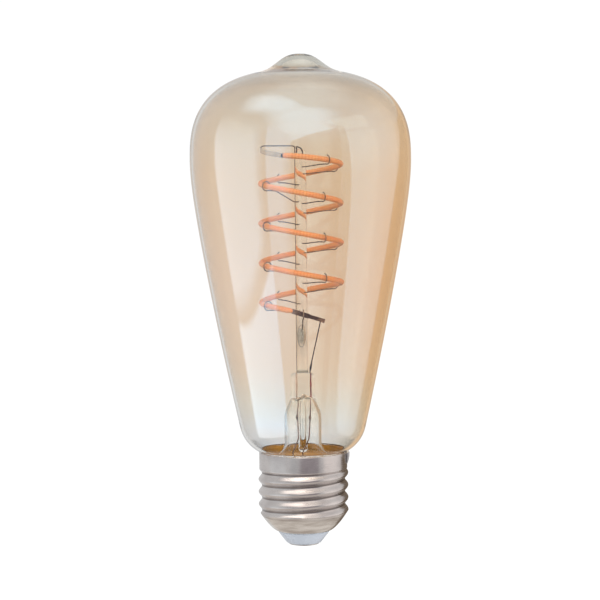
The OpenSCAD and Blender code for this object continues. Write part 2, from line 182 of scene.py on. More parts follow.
# Cap: a rolled thread that runs out into the collar, and a shoulder that narrows to the skirt
THREAD_PITCH = 3.629
THREAD_DEPTH = 1
THREAD_Z = 19.1
THREAD_TOP = 21.4
COLLAR_FOOT = 22.5
COLLAR_R = 12.85
SHEET_T = 0.3
SKIRT_R = 7.9
SHOULDER_RISE = 5
SHOULDER_REACH = 4.7
SHOULDER_POWER = 0.7
CONTACT_T = 0.4
INSULATOR_TOP = 5.6
CEMENT_BORE = 10.9
CEMENT_TOP = RIM_Z - 0.3
# Height, count and phase of the waves in the cement's upper edge
CEMENT_WAVES = ((0.1, 5, 1), (0.06, 11, 0))
# Height above the rim and radius, along the drop of solder
SOLDER_DROP = (
    (-3.4, 0.05), (-3.1, 0.18), (-2.6, 0.26), (-1.6, 0.4),
    (-0.6, 0.48), (0, 0.46), (0.25, 0.36), (0.36, 0.15),
)
SOLDER_OUT = 0.46
SIDE_A = -12


# ---- Curves ----


def cosd(a):
    return math.cos(math.radians(a))


def sind(a):
    return math.sin(math.radians(a))


def steps(start, end, count):
    """count + 1 even values from start to end."""
    return [start + (end - start) * i / count for i in range(count + 1)]


def around(a, r, z):
    """The point at radius r and height z, at the angle a from the front towards +X."""
    return Vector((r * sind(a), -r * cosd(a), z))


def turn_height(a):
    plain = COIL_Z - COIL_PITCH * (a - 90) / 360 - COIL_SAG * math.exp(-(a - 90) / SAG_TURN)
    lift = END_LIFT * math.exp(-(((a - END_LIFT_A) / END_LIFT_W) ** 2))
    return plain + COIL_TILT * (1 + cosd(a)) - COIL_ZIG * sind(2 * a) + lift


def coil_height(a):
    """Height of the coil's centre line. The terminals run straight on from its ends."""
    if a < JACKET_A0:
        share = (JACKET_A0 - a) / (JACKET_A0 - TOP_TERMINAL_A)
        return turn_height(JACKET_A0) + TOP_RISE * share
    if a > JACKET_A1:
        return turn_height(JACKET_A1) - END_DROP * (a - JACKET_A1) / (STRIP_A - JACKET_A1)
    return turn_height(a)


def coil_path(a0, a1, step):
    count = max(2, round((a1 - a0) / step))
    return [around(a, COIL_R, coil_height(a)) for a in steps(a0, a1, count)]


def taper_r(z):
    u = ENVELOPE_Z - z
    straight = u - TAPER_START * (1 - math.exp(-u / TAPER_START))
    return ENVELOPE_R - TAPER_SLOPE * straight - TAPER_CURVE * u * u / 2


def bowl_point(a, t):
    """A point of the bowl where its wall leans a degrees from the axis, t inside the glass."""
    r = taper_r(BOWL_Z) - BOWL_R * (cosd(BOWL_A0) - cosd(a))
    z = BOWL_Z - BOWL_R * (sind(a) - sind(BOWL_A0))
    return r - t * cosd(a), z + t * sind(a)


def heel_point(a, t):
    """A point of the small hollow curve between the bowl and the neck."""
    foot_r, foot_z = bowl_point(BOWL_A1, 0)
    heel_r = (foot_r - NECK_R) / (1 - cosd(BOWL_A1))
    r = NECK_R + heel_r * (1 - cosd(a))
    z = foot_z - heel_r * (sind(BOWL_A1) - sind(a))
    return r - t * cosd(a), z + t * sind(a)


def crown_point(r, t):
    """A point of the crown at radius r. Inside, the tip is a shallower dimple."""
    share = min(1, r / (ENVELOPE_R - t))
    z = ENVELOPE_Z + (SHOULDER_H - t) * (1 - share**SHOULDER_N) ** (1 / SHOULDER_N)
    rise, reach = (DIMPLE_H, DIMPLE_R) if t else (TIP_H, TIP_R)
    return r, z + rise * math.exp(-((r / reach) ** TIP_N))


def crown_wall(t):
    """The crown from the widest place to the axis, with close steps at both."""
    widest = ENVELOPE_R - t
    radii = [widest * cosd(a) ** (2 / SHOULDER_N) for a in steps(0, 60, 36)]
    radii += steps(radii[-1] - 0.4, 0, 60)
    return [crown_point(r, t) for r in radii]


def envelope_wall(t):
    """The envelope's outline from the neck's end to the tip, t inside the outer face."""
    points = [(NECK_R - t, z) for z in steps(NECK_END, heel_point(0, t)[1] - 0.4, 3)]
    points += [heel_point(a, t) for a in steps(0, BOWL_A1, 10)]
    points += [bowl_point(a, t) for a in steps(BOWL_A1 - 3, BOWL_A0 + 2, 18)]
    points += [(taper_r(z) - t, z) for z in steps(BOWL_Z + 0.4, ENVELOPE_Z - 1, 40)]
    return points + crown_wall(t)


def smooth(x):
    c = max(0.0, min(1.0, x))
    return c * c * (3 - 2 * c)


def foot_r(z):
    """The shell's largest radius at height z, where its shoulder rounds down to the skirt."""
    return SKIRT_R + SHOULDER_REACH * (max(0, z - SKIRT_Z) / SHOULDER_RISE) ** SHOULDER_POWER


def shell_r(z, a):
    """The screw shell's outer radius at height z, at the angle a from +X."""
    phase = (z - THREAD_Z) / THREAD_PITCH - (a - 180) / 360
    rolled = CREST_R - THREAD_DEPTH / 2 + THREAD_DEPTH / 2 * cosd(360 * phase)
    run_out = smooth((z - THREAD_TOP) / (COLLAR_FOOT - THREAD_TOP))
    return min(rolled + (COLLAR_R - rolled) * run_out, foot_r(z))


def bent(points, size=0.8, count=6):
    """Straight runs between the points, joined by bends no longer than size each side."""
    path = [points[0]]
    for before, corner, after in zip(points, points[1:], points[2:]):
        back, ahead = before - corner, after - corner
        reach = min(size, 0.48 * back.length, 0.48 * ahead.length)
        start = corner + back.normalized() * reach
        end = corner + ahead.normalized() * reach
        for i in range(count + 1):
            t = i / count
            path.append(start * (1 - t) ** 2 + corner * (2 * t * (1 - t)) + end * t * t)
    return [*path, points[-1]]


def vectors(points):
    return [Vector(p) for p in points]


# ---- Mesh building ----


def finish_piece(name, mesh, material, nodes, sharp=40):
    """Makes the object, smooths it, hangs it on the root body and hides the CAD nodes it replaces."""
    tidy = bmesh.new()
    tidy.from_mesh(mesh)
    bmesh.ops.remove_doubles(tidy, verts=tidy.verts, dist=1e-7)
    loose = [edge for edge in tidy.edges if not edge.link_faces]
    bmesh.ops.delete(tidy, geom=loose, context="EDGES")
    bmesh.ops.recalc_face_normals(tidy, faces=tidy.faces)
    tidy.to_mesh(mesh)
    tidy.free()
    mesh.shade_smooth()
    mesh.set_sharp_from_angle(angle=math.radians(sharp))
    mesh.materials.append(material)
    piece = bpy.data.objects.new(name, mesh)
    bpy.context.collection.objects.link(piece)
    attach(piece, "root")
    if nodes:
        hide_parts(*nodes)
    return piece


def mesh_from(name, points, faces):
    mesh = bpy.data.meshes.new(name)
    mesh.from_pydata([tuple(c * MM for c in p) for p in points], [], faces)
    return mesh


def ring_faces(rings, sides, closed=False, capped=False):
    """Quads between rings of the same number of points.

    closed joins the last ring to the first, and capped puts a flat face over both ends.
    """
    faces = []
    for i in range(rings if closed else rings - 1):
        a, b = i * sides, (i + 1) % rings * sides
        for k in range(sides):
            n = (k + 1) % sides
            faces.append((a + k, a + n, b + n, b + k))
    if capped:
        faces.append(tuple(range(sides))[::-1])
        faces.append(tuple((rings - 1) * sides + k for k in range(sides)))
    return faces


def lathe(name, outline, material, nodes=(), sides=96, sharp=40):
    """Turns a closed outline of (radius, height) points about the axis."""
    points = [
        (r * cosd(360 * k / sides), r * sind(360 * k / sides), z)
        for r, z in outline
        for k in range(sides)
    ]
    faces = ring_faces(len(outline), sides, closed=True)
    mesh = mesh_from(name, points, faces)
    return finish_piece(name, mesh, material, nodes, sharp)


def path_frames(path):
    """Tangent and two square directions at each point, carried along without twist."""
    last = len(path) - 1
    tangents = [(path[min(i + 1, last)] - path[max(i - 1, 0)]).normalized() for i in range(last + 1)]
    side = tangents[0].orthogonal().normalized()
    frames = []
    for t in tangents:
        side = (side - t * side.dot(t)).normalized()
        frames.append((side, t.cross(side)))
    return frames


def tube(name, path, radius, material, nodes=(), sides=12):
    """A round wire along a path. radius is a number or a function of the share along it."""
    size = radius if callable(radius) else lambda share: radius
    frames = path_frames(path)
    last = len(path) - 1
    points = []
    for i, (p, (u, v)) in enumerate(zip(path, frames, strict=True)):
        r = size(i / last)
        angles = [360 * k / sides for k in range(sides)]
        points += [p + (u * cosd(a) + v * sind(a)) * r for a in angles]
    mesh = mesh_from(name, points, ring_faces(len(path), sides, capped=True))
    return finish_piece(name, mesh, material, nodes, sharp=60)


def store_length(piece, path, sides):
    """Keeps each ring's distance along the path, in millimetres, for the material."""
    layer = piece.data.attributes.new("along", "FLOAT", "POINT")
    along = 0.0
    for i, p in enumerate(path):
        if i:
            along += (p - path[i - 1]).length
        for k in range(sides):
            layer.data[i * sides + k].value = along


def ribbon(name, path, width, material, nodes=()):
    """A terminal's flat strip that stands upright along a path, with chamfered edges."""
    corner = TERMINAL_T * 0.3
    t, w = TERMINAL_T / 2, width / 2
    outline = [
        (t, -w + corner), (t, w - corner), (t - corner, w), (corner - t, w),
        (-t, w - corner), (-t, corner - w), (corner - t, -w), (t - corner, -w),
    ]
    last = len(path) - 1
    points = []
    for i, p in enumerate(path):
        tangent = (path[min(i + 1, last)] - path[max(i - 1, 0)]).normalized()
        out = tangent.cross(Vector((0, 0, 1))).normalized()
        up = out.cross(tangent)
        points += [p + out * a + up * b for a, b in outline]
    mesh = mesh_from(name, points, ring_faces(len(path), len(outline), capped=True))
    return finish_piece(name, mesh, material, nodes, sharp=30)


# ---- Materials ----


class Nodes:
    """Adds nodes to a tree and joins them."""

    def __init__(self, tree):
        self.tree = tree

    def node(self, kind, settings=None, **inputs):
        """A new node. An input's name has _ for each space."""
        made = self.tree.nodes.new(f"ShaderNode{kind}")
        for key, value in (settings or {}).items():
            setattr(made, key, value)
        for key, value in inputs.items():
            self.feed(made, key.replace("_", " "), value)
        return made

    def feed(self, node, key, value):
        """Gives an input, told by name or number, a value or another node's output."""
        socket = node.inputs[int(key)] if key.isdigit() else node.inputs[key]
        if isinstance(value, bpy.types.NodeSocket):
            self.tree.links.new(value, socket)
        else:
            socket.default_value = value

    def remap(self, value, low, high, to_low=0.0, to_high=1.0, shape="LINEAR"):
        """to_low to to_high as value goes from low to high, and no further."""
        made = self.node("MapRange", {"interpolation_type": shape}, Value=value)
        ends = {"From Min": low, "From Max": high, "To Min": to_low, "To Max": to_high}
        for key, end in ends.items():
            self.feed(made, key, end)
        return made.outputs["Result"]

    def path_value(self, name, low, high):
        """low where the light path's value is 0 and high where it is 1 or more."""
        return self.remap(self.node("LightPath").outputs[name], 0.0, 1.0, low, high)

    def compute(self, operation, first, second=0.0, clamp=False):
        """A sum, product or function of one or two values."""
        settings = {"operation": operation, "use_clamp": clamp}
        return self.node("Math", settings, **{"0": first, "1": second}).outputs["Value"]

    def blend(self, share, low, high):
        """Mixes two colours: low where share is 0, high where it is 1."""
        colours = {"0": share, "6": low, "7": high}
        return self.node("Mix", {"data_type": "RGBA"}, **colours).outputs[2]


class Paint(Nodes):
    """A node material under construction."""

    def __init__(self, name):
        self.material = bpy.data.materials.new(name)
        self.material.use_nodes = True
        super().__init__(self.material.node_tree)
        self.tree.nodes.clear()
        self.output = self.node("OutputMaterial")

    def surface(self, shader):
        self.feed(self.output, "Surface", shader.outputs[0])
        return self.material

    def mix_shaders(self, share, low, high):
        """Mixes two shaders: low where share is 0, high where it is 1."""
        return self.node("MixShader", **{"0": share, "1": low.outputs[0], "2": high.outputs[0]})

    def place(self, stretch=(1, 1, 1)):
        """Object coordinates, in metres in the bulb's own frame, times stretch."""
        coordinates = self.node("TexCoord").outputs["Object"]
        return self.node("Mapping", Vector=coordinates, Scale=stretch).outputs["Vector"]

    def span(self, place, axis, ends):
        """0 at the first end and 1 at the second, both in millimetres along an axis."""
        low, high = ends
        return self.remap(place.outputs[axis], low * MM, high * MM)

    def mark(self, name):
        """A value that was stored at the mesh's points."""
        return self.node("Attribute", {"attribute_name": name}).outputs["Fac"]

    def edge_share(self, start, end=1.0):
        """0 where the glass is seen square on, rising to 1 at its edge."""
        facing = self.node("LayerWeight", Blend=0.5).outputs["Facing"]
        return self.remap(facing, start, end)

    def noise(self, scale, detail=4, stretch=(1, 1, 1)):
        made = self.node("TexNoise", Vector=self.place(stretch), Scale=scale, Detail=detail)
        return made.outputs["Fac"]

    def ramp(self, share, stops):
        made = self.node("ValToRGB", Fac=share)
        elements = made.color_ramp.elements
        while len(elements) < len(stops):
            elements.new(0.5)
        for element, (place, colour) in zip(elements, stops, strict=True):
            element.position = place
            element.color = (*colour, 1)
        return made.outputs["Color"]

    def bump(self, height, distance, strength=1.0):
        """A bump, distance millimetres high."""
        made = self.node("Bump", Height=height, Strength=strength, Distance=distance * MM)
        return made.outputs["Normal"]


NOISE_LOW = 0.3
NOISE_HIGH = 0.7


def mottled(name, light, dark, scale, rough, bump=0.02, stretch=(1, 1, 1), **shader):
    """Two shades, a roughness range and a bump that all follow one noise."""
    paint = Paint(name)
    noise = paint.noise(scale, stretch=stretch)
    body = paint.node(
        "BsdfPrincipled",
        Base_Color=paint.ramp(noise, [(NOISE_LOW, dark), (NOISE_HIGH, light)]),
        Roughness=paint.remap(noise, NOISE_LOW, NOISE_HIGH, *rough),
        Normal=paint.bump(noise, bump),
        **shader,
    )
    return paint.surface(body)


def drawn_wire(name, light, dark, rough=(0.2, 0.4)):
    """Wire with fine die marks."""
    return mottled(name, light, dark, 900, rough, 0.004, (1, 1, 0.15), Metallic=1.0)


def see_through(paint, colour, normal, mirrored=(1, 1, 1, 1), index=1.5):
    """Glass that lets light through to what is inside it. mirrored tints its reflections."""
    glass = paint.node(
        "BsdfPrincipled",
        Base_Color=colour,
        Roughness=0.0,
        IOR=index,
        Transmission_Weight=1.0,
        Specular_Tint=mirrored,
        Normal=normal,
    )
    in_shadow = paint.node("LightPath").outputs["Is Shadow Ray"]
    clear = paint.node("BsdfTransparent", Color=colour)
    return paint.surface(paint.mix_shaders(in_shadow, glass, clear))


# The film's colour by its share of the envelope's height: seen square on, left and right of the
# middle, and at the left and right edges.
MIDDLE_FILM = [
    (0.06, (0.69, 0.69, 0.7)), (0.13, (0.69, 0.62, 0.52)), (0.22, (0.74, 0.58, 0.44)),
    (0.42, (0.75, 0.58, 0.45)), (0.7, (0.71, 0.54, 0.38)), (0.88, (0.65, 0.57, 0.46)),
    (1.0, (0.61, 0.51, 0.39)),
]
DEEP_FILM = [
    (0.06, (0.66, 0.65, 0.64)), (0.13, (0.66, 0.57, 0.45)), (0.22, (0.7, 0.51, 0.34)),
    (0.42, (0.69, 0.47, 0.3)), (0.7, (0.67, 0.47, 0.29)), (0.88, (0.63, 0.53, 0.42)),
    (1.0, (0.6, 0.5, 0.38)),
]
LEFT_FILM = [
    (0.06, (0.53, 0.56, 0.6)), (0.13, (0.64, 0.64, 0.6)), (0.22, (0.64, 0.53, 0.4)),
    (0.42, (0.68, 0.51, 0.35)), (0.7, (0.68, 0.52, 0.36)), (1.0, (0.6, 0.5, 0.4)),
]
RIGHT_FILM = [
    (0.06, (0.48, 0.45, 0.4)), (0.13, (0.58, 0.48, 0.36)), (0.22, (0.66, 0.45, 0.25)),
    (0.42, (0.7, 0.42, 0.18)), (0.6, (0.7, 0.43, 0.2)), (0.75, (0.7, 0.52, 0.34)),
    (1.0, (0.56, 0.5, 0.41)),
]

# Where the glass changes its tints, in millimetres
FILM_Z = (24, 144)
SIDE_X = (-12, 20)
MIDDLE_X = (3, 11.5)
CROWN_TINT_Z = (128, 136)
TIP_TINT_Z = (137.5, 139)
MIRROR_Z = (31, 37)
UNEVEN = 0.06

BARE_GLASS = (0.96, 0.97, 0.96, 1)
LEFT_SKIN = (0.93, 0.9, 0.85, 1)
RIGHT_SKIN = (0.94, 0.68, 0.34, 1)
CROWN_SKIN = (0.76, 0.73, 0.66, 1)
TIP_SKIN = (0.68, 0.66, 0.58, 1)
TIP_FILM = (0.97, 0.97, 0.97, 1)
RIM_DEPTH = 1.7
LOW_MIRROR = (0.5, 0.33, 0.18, 1)
HIGH_MIRROR = (0.35, 0.68, 1, 1)
# Dark grey of the painted shade on the stem's glass
SHADE_GREY = (0.24, 0.29, 0.3, 1)
CLEAR_EDGE = (0.93, 0.93, 0.92, 1)
CORD_END = (0.02, 0.015, 0.015, 1)


def film_height(paint, place):
    """0 at the neck and 1 at the crown, a little uneven."""
    streaks = paint.noise(16, detail=3, stretch=(1, 1, 0.4))
    uneven = paint.remap(streaks, 0.0, 1.0, -UNEVEN, UNEVEN)
    return paint.compute("ADD", paint.span(place, "Z", FILM_Z), uneven)


def outer_face(paint, place, side, rim):
    """Almost bare glass, tinted at its edges, at the crown and at the tip."""
    skin = paint.blend(side, LEFT_SKIN, RIGHT_SKIN)
    skin = paint.blend(paint.span(place, "Z", CROWN_TINT_Z), skin, CROWN_SKIN)
    face = paint.blend(paint.edge_share(0.15, 0.8), BARE_GLASS, skin)
    face = paint.blend(paint.edge_share(0.78, 0.84), face, rim)
    return paint.blend(paint.span(place, "Z", TIP_TINT_Z), face, TIP_SKIN)


def amber_glass():
    """Almost bare glass outside, and inside it the amber film, deeper towards the edges."""
    paint = Paint("amber_glass")
    place = paint.node("SeparateXYZ", Vector=paint.place())
    height = film_height(paint, place)
    side = paint.span(place, "X", SIDE_X)
    edge = paint.blend(side, paint.ramp(height, LEFT_FILM), paint.ramp(height, RIGHT_FILM))
    rightward = paint.span(place, "X", MIDDLE_X)
    middle = paint.blend(rightward, paint.ramp(height, MIDDLE_FILM), paint.ramp(height, DEEP_FILM))
    film = paint.blend(paint.edge_share(0.1, 0.85), middle, edge)
    film = paint.blend(paint.span(place, "Z", TIP_TINT_Z), film, TIP_FILM)
    rim = paint.node("Gamma", Color=edge, Gamma=RIM_DEPTH).outputs["Color"]
    tint = paint.blend(paint.mark("film"), outer_face(paint, place, side, rim), film)
    ripple = paint.bump(paint.noise(60, detail=1, stretch=(1, 1, 0.25)), 0.05, 0.4)
    mirrored = paint.blend(paint.span(place, "Z", MIRROR_Z), LOW_MIRROR, HIGH_MIRROR)
    return see_through(paint, tint, ripple, mirrored)


def clear_glass():
    """The stem's glass, with painted shade, a dark grey, where its points are marked for it."""
    paint = Paint("clear_glass")
    noise = paint.noise(120, detail=2, stretch=(1, 1, 0.2))
    plain = paint.ramp(noise, [(NOISE_LOW, (0.965, 0.98, 0.98)), (NOISE_HIGH, (0.99, 0.995, 0.99))])
    # Painted shade: dark grey wherever the mesh's points are marked for it
    shaded = paint.blend(paint.mark("painted_shade"), plain, SHADE_GREY)
    tint = paint.blend(paint.edge_share(0.5), shaded, CLEAR_EDGE)
    return see_through(paint, tint, paint.bump(noise, 0.03, 0.5), index=1.35)


def phosphor():
    """Silicone with phosphor: a soft orange cord with the chips showing faintly."""
    paint = Paint("phosphor")
    along = paint.mark("along")
    wave = paint.compute("SINE", paint.compute("MULTIPLY", along, 2 * math.pi / CHIP_STEP))
    chips = paint.remap(wave, -1.0, 1.0)
    colour = paint.ramp(chips, [(0.25, (0.77, 0.405, 0.22)), (0.8, (0.83, 0.485, 0.29))])
    grain = paint.noise(2500, detail=3)
    body = paint.node(
        "BsdfPrincipled",
        Base_Color=paint.blend(paint.remap(along, 0.5, 0.9), CORD_END, colour),
        Roughness=paint.remap(grain, NOISE_LOW, NOISE_HIGH, 0.4, 0.55),
        Subsurface_Weight=0.35,
        Subsurface_Radius=(0.0012, 0.0006, 0.0003),
        Subsurface_Scale=0.5,
        Normal=paint.bump(grain, 0.01),
    )
    return paint.surface(body)


# Radii over which the painted shade in the thread's roots gives way to the plate
ROOT_SHADE_R = (12, 12.55)
WORN_FOOT_Z = (9.8, 8.5)
FACES_UP = 0.25


def cap_metal():
    """Nickel plate over brass, brushed round the cap, with painted shade, a near-black brown, in the
    thread's roots and on faces that look down.
    """
    paint = Paint("cap_metal")
    place = paint.node("SeparateXYZ", Vector=paint.place())
    flat = paint.node("CombineXYZ", X=place.outputs["X"], Y=place.outputs["Y"])
    radius = paint.node("VectorMath", {"operation": "LENGTH"}, **{"0": flat.outputs["Vector"]})
    root_r, plate_r = ROOT_SHADE_R
    crest = paint.remap(radius.outputs["Value"], root_r * MM, plate_r * MM)
    normal = paint.node("SeparateXYZ", Vector=paint.node("TexCoord").outputs["Normal"])
    upward = paint.remap(normal.outputs["Z"], -FACES_UP, FACES_UP)
    brushed = paint.noise(60, detail=5, stretch=(1, 1, 70))
    stains = paint.noise(160, detail=3)
    plate = paint.ramp(stains, [(0.35, (0.57, 0.53, 0.52)), (0.65, (0.7, 0.66, 0.645))])
    # Painted shade: near black in the thread's roots and on faces that look down
    root = paint.ramp(stains, [(0.35, (0.02, 0.01, 0.008)), (0.65, (0.09, 0.05, 0.035))])
    foot = paint.span(place, "Z", WORN_FOOT_Z)
    streaks = paint.noise(90, detail=3, stretch=(1, 1, 6))
    rubbed = paint.ramp(streaks, [(0.38, (0.5, 0.45, 0.41)), (0.6, (0.86, 0.83, 0.79))])
    plate = paint.blend(foot, plate, rubbed)
    # The plate shows on crests, on faces that look up and on the foot; elsewhere the painted shade
    shown = paint.compute("MAXIMUM", paint.compute("MAXIMUM", crest, upward), foot)
    body = paint.node(
        "BsdfPrincipled",
        Base_Color=paint.blend(shown, root, plate),
        Metallic=1.0,
        Roughness=paint.remap(brushed, NOISE_LOW, NOISE_HIGH, 0.16, 0.3),
        Normal=paint.bump(brushed, 0.006, 0.6),
    )
    return paint.surface(body)


GLASS_AMBER = amber_glass()
GLASS_CLEAR = clear_glass()
PHOSPHOR = phosphor()
CAP_METAL = cap_metal()
# Light and dark shade, the noise's scale, the range of roughness and the bump's height
CHIP_STRIP = mottled("chip_strip", (0.8, 0.62, 0.25), (0.7, 0.6, 0.45), 700, (0.4, 0.6), 0.05)
PALE_STRIP = mottled("pale_strip", (0.62, 0.61, 0.62), (0.42, 0.41, 0.42), 700, (0.3, 0.5))
DARK_STRIP = mottled("dark_strip", (0.34, 0.27, 0.25), (0.2, 0.16, 0.15), 500, (0.3, 0.5), Metallic=1.0)
SUPPORT_WIRE = drawn_wire("support_wire", (0.36, 0.31, 0.28), (0.2, 0.17, 0.15))
HOOK_WIRE = drawn_wire("hook_wire", (0.24, 0.21, 0.2), (0.12, 0.1, 0.1))
LEAD_WIRE = drawn_wire("lead_wire", (0.24, 0.2, 0.18), (0.12, 0.1, 0.09))
DUMET = {
    # The left seal's paler dumet is painted light: both seals are the same wire, and the left one is
    # painted lighter
    "left": mottled("dumet_painted_pale", (0.72, 0.62, 0.56), (0.6, 0.5, 0.44), 600, (0.3, 0.5)),
    "right": mottled(
        "dumet", (0.42, 0.09, 0.08), (0.1, 0.03, 0.035), 260, (0.15, 0.3), Coat_Weight=0.5
    ),
}
COPPER = drawn_wire("copper", (0.3, 0.18, 0.14), (0.14, 0.08, 0.07))
# The cement's faint orange emission is a painted glow, standing in for light that hardly reaches it
# inside the collar
GLOWING_CEMENT = mottled(
    "cement", (0.85, 0.48, 0.12), (0.12, 0.045, 0.01), 190, (0.3, 0.6), 0.15,
    Emission_Color=(0.9, 0.38, 0.03, 1), Emission_Strength=0.3,
)
INSULATOR = mottled("insulator", (0.32, 0.345, 0.385), (0.29, 0.315, 0.355), 220, (0.22, 0.32), 0.01)
CONTACT = mottled(
    "contact", (0.66, 0.64, 0.62), (0.48, 0.46, 0.45), 300, (0.2, 0.35), 0.01, Metallic=1.0
)
SOLDER = mottled("solder", (0.7, 0.7, 0.7), (0.5, 0.5, 0.5), 500, (0.15, 0.3), 0.03, Metallic=1.0)
SLEEVE = mottled("sleeve", (0.5, 0.36, 0.2), (0.4, 0.27, 0.14), 300, (0.4, 0.55))
BOARD = mottled("board", (0.5, 0.27, 0.08), (0.34, 0.16, 0.04), 300, (0.25, 0.4), 0.03)
CHIP_BLACK = mottled("chip_black", (0.035, 0.035, 0.04), (0.02, 0.02, 0.022), 2500, (0.45, 0.6))
RESISTOR = mottled("resistor", (0.12, 0.36, 0.2), (0.08, 0.27, 0.15), 500, (0.3, 0.45))
CAPACITOR = mottled("capacitor", (0.03, 0.035, 0.12), (0.02, 0.022, 0.08), 300, (0.2, 0.35))
FERRITE = mottled("ferrite", (0.11, 0.1, 0.09), (0.06, 0.055, 0.05), 900, (0.5, 0.7), 0.05)
CERAMIC = mottled("ceramic", (0.6, 0.45, 0.28), (0.48, 0.34, 0.2), 900, (0.35, 0.5))
RADIO_BOARD = mottled("radio_board", (0.02, 0.05, 0.2), (0.015, 0.03, 0.13), 500, (0.25, 0.4), 0.03)
SHIELD = mottled("shield", (0.7, 0.7, 0.7), (0.55, 0.55, 0.56), 250, (0.25, 0.4), Metallic=1.0)
PIN_METAL = mottled("pin_metal", (0.83, 0.6, 0.25), (0.68, 0.47, 0.18), 600, (0.2, 0.3), Metallic=1.0)


# ---- Glass ----


def make_envelope():
    """One wall of glass. Its inner face is marked, so that only it has the amber film."""
    outline = envelope_wall(0) + envelope_wall(GLASS_T)[::-1]
    glass = lathe("bulb_glass", outline, GLASS_AMBER, ["glass_envelope"], 144, 60)
    film = glass.data.attributes.new("film", "FLOAT", "POINT")
    middle = Vector((0, 0, ENVELOPE_Z * MM))
    for vertex in glass.data.vertices:
        film.data[vertex.index].value = vertex.normal.dot(vertex.co - middle) < 0


def squashed_ring(half_x, half_y, power, z, sides):
    """A ring between an ellipse (power 2) and a rounded rectangle (power 4)."""
    ring = []
    for k in range(sides):
        c, s = cosd(360 * k / sides), sind(360 * k / sides)
        x = math.copysign(abs(c) ** (2 / power), c) * half_x
        y = math.copysign(abs(s) ** (2 / power), s) * half_y
        ring.append(Vector((x, y, z)))
    return ring


def bell(a, t):
    """The bell's section, from the seat (a = 0) to the tube (a = 90), t inside its skin."""
    width, height = SEAT_R - FLARE_R, BELL_Z - BELL_FOOT
    across, up = height * sind(a), width * cosd(a)
    size = math.hypot(across, up)
    r = SEAT_R - width * sind(a) - t * across / size
    return r, BELL_FOOT + height * (1 - cosd(a)) - t * up / size


def round_ring(r, z):
    return (r, r, 2, z)


# Half width, half depth, squareness and height of the stem's outer skin and of its hollow.
STEM_SKIN = [
    (5.4, 5.4, 2, 34), (5.4, 5.4, 2, 36.6), (5.3, 5.25, 2, 38), (5.05, 4.7, 2.05, 39.2),
    (4.5, 3.8, 2.15, 40.4), (3.95, 2.9, 2.4, 41.6), (3.6, 2.35, 2.8, 42.8), (3.4, 2.15, 3, 44.2),
    (3.5, 2.1, 3, 46), (3.55, 2.1, 3, 48), (3.45, 2.05, 2.8, 49.2), (3.1, 1.9, 2.5, 49.9),
    (2.4, 1.75, 2.2, 50.25), (1.2, 1.1, 2, PRESS_TOP - FIT),
]
STEM_HOLLOW = [
    (4.8, 4.8, 2, 34), (4.8, 4.8, 2, 36.6), (4.65, 4.6, 2, 38), (4.3, 4, 2.05, 39.2),
    (3.7, 3, 2.1, 40.4), (3.2, 2.1, 2.2, 41.5), (2.9, 1.6, 2.3, 42.3), (2.6, 1.2, 2.3, 42.8),
    (1.9, 0.8, 2, 43.1), (0.9, 0.4, 2, 43.2),
]
# Where the painted shade along the melt line's seam lies
SEAM_Z = (41.8, 45)
SEAM_HALVES = (2.79, 1.575)
MELT_RINGS = 5
# Height, place and half width of each rise or dip in the melt's edge.
MELT_WAVES = ((0.8, 0.4, 0.6), (-0.5, -1.7, 0.6), (0.35, 2.1, 0.4))


def wave(ring):
    """Lifts the hollow's end into the uneven edge where the melt stopped."""
    for p in ring:
        p.z += sum(h * math.exp(-(((p.x - x) / w) ** 2)) for h, x, w in MELT_WAVES)


def in_shaded_seam(p):
    """Whether a point of the stem is in the seam of the melt line, which gets painted shade."""
    low, high = SEAM_Z
    half_x, half_y = SEAM_HALVES
    return low < p.z < high and math.hypot(p.x / half_x, p.y / half_y) < 1


def make_stem(sides=72):
    """The flare, from its seat in the neck to the press, with the hollow inside it."""
    seat = SEAT_R - FIT
    turn = steps(6, 90, 12)
    skin = [round_ring(seat, NECK_END), round_ring(seat, BELL_FOOT)]
    skin += [round_ring(*bell(a, 0)) for a in turn] + STEM_SKIN
    hollow = [round_ring(seat - FLARE_WALL, NECK_END), round_ring(seat - FLARE_WALL, BELL_FOOT - 0.7)]
    hollow += [round_ring(*bell(a, FLARE_WALL)) for a in turn] + STEM_HOLLOW
    outer = [squashed_ring(*s, sides) for s in skin]
    inner = [squashed_ring(*s, sides) for s in hollow]
    for ring in inner[-MELT_RINGS:]:
        wave(ring)
    rings = outer[::-1] + inner
    points = [p for ring in rings for p in ring]
    mesh = mesh_from("stem_glass", points, ring_faces(len(rings), sides, capped=True))
    stem = finish_piece("stem_glass", mesh, GLASS_CLEAR, ["stem_flare"], 60)
    # Painted shade along the melt line's seam
    shade(stem, in_shaded_seam)


def make_exhaust_tube():
    """The tube the air was pumped out by, closed and rounded at its foot."""
    top = PRESS_FOOT - 0.5
    outline = [
        (0, EXHAUST_FOOT), (0.6, EXHAUST_FOOT + 0.1), (1.1, EXHAUST_FOOT + 0.6),
        (EXHAUST_R, EXHAUST_FOOT + 1.4), (EXHAUST_R, top - 2), (EXHAUST_R + 0.1, top),
        (EXHAUST_BORE, top), (EXHAUST_BORE, EXHAUST_FOOT + 1.6), (0.4, EXHAUST_FOOT + 1.1),
        (0, EXHAUST_FOOT + 1),
    ]
    lathe("exhaust_glass", outline, GLASS_CLEAR, ["exhaust_tube"], 32, 60)


def shade(piece, chosen, amount=1):
    """Marks the points of a glass piece that get painted shade, at a seam, a foot or round a bubble."""
    marks = piece.data.attributes.get("painted_shade") or piece.data.attributes.new("painted_shade", "FLOAT", "POINT")
    for vertex in piece.data.vertices:
        if chosen(vertex.co / MM):
            marks.data[vertex.index].value = amount


